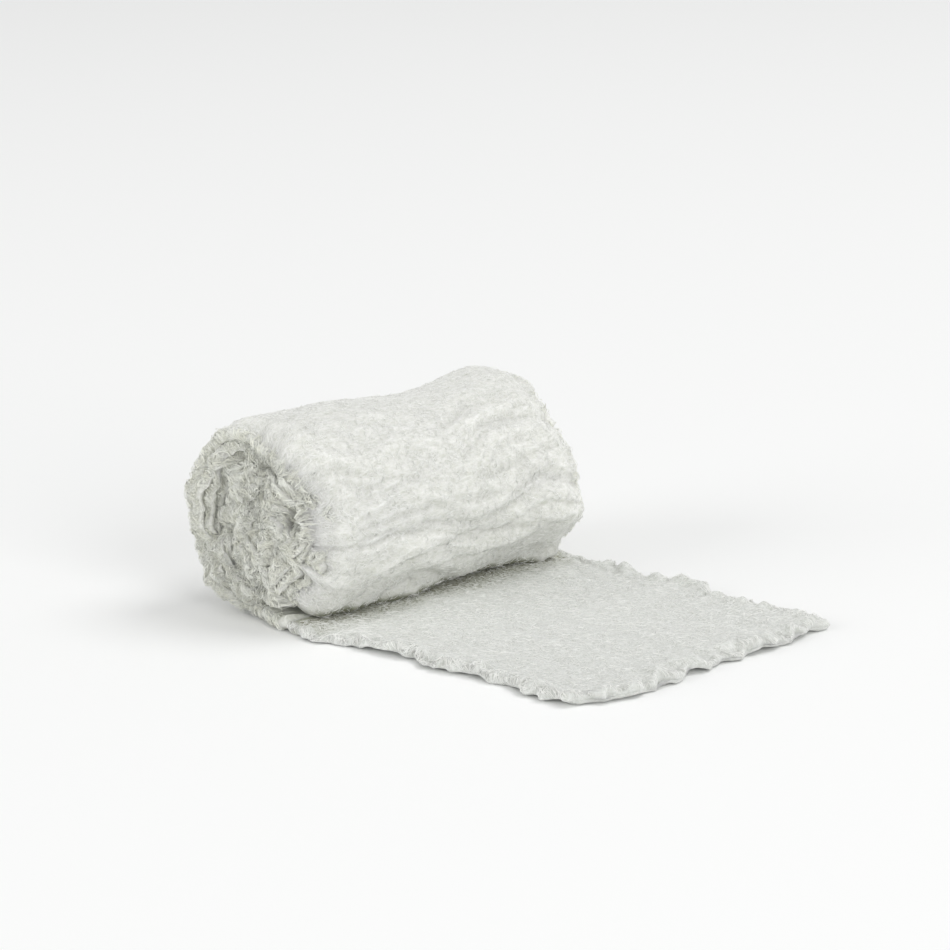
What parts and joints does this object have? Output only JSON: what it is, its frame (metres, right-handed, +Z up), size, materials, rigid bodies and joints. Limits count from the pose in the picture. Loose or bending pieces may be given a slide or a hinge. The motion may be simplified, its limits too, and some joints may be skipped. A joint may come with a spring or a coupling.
{
  "type": "gauze bandage roll",
  "caption": "Loosely wound roll of soft crinkled cotton gauze lying on its side, with its outer end drawn out flat along the surface.",
  "frame": {"origin": "middle of the footprint of the whole part, on the surface that it lies on", "axes": "+X from the roll towards the free edge of the loose end, +Y along the roll's axis, +Z up"},
  "size_m": [0.1632, 0.1262, 0.0637],
  "materials": {
    "roll_gauze": "bleached crinkled cotton gauze, several plies thick, fluffy and matt, near white with a faint green cast in its folds",
    "loose_gauze": "the same gauze drawn out flat: fine, mottled, felt-like face with soft scalloped edges, matt and near white"
  },
  "bodies": {
    "root": {"wound_roll": "roll_gauze", "loose_end": "loose_gauze"}
  },
  "joints": []
}
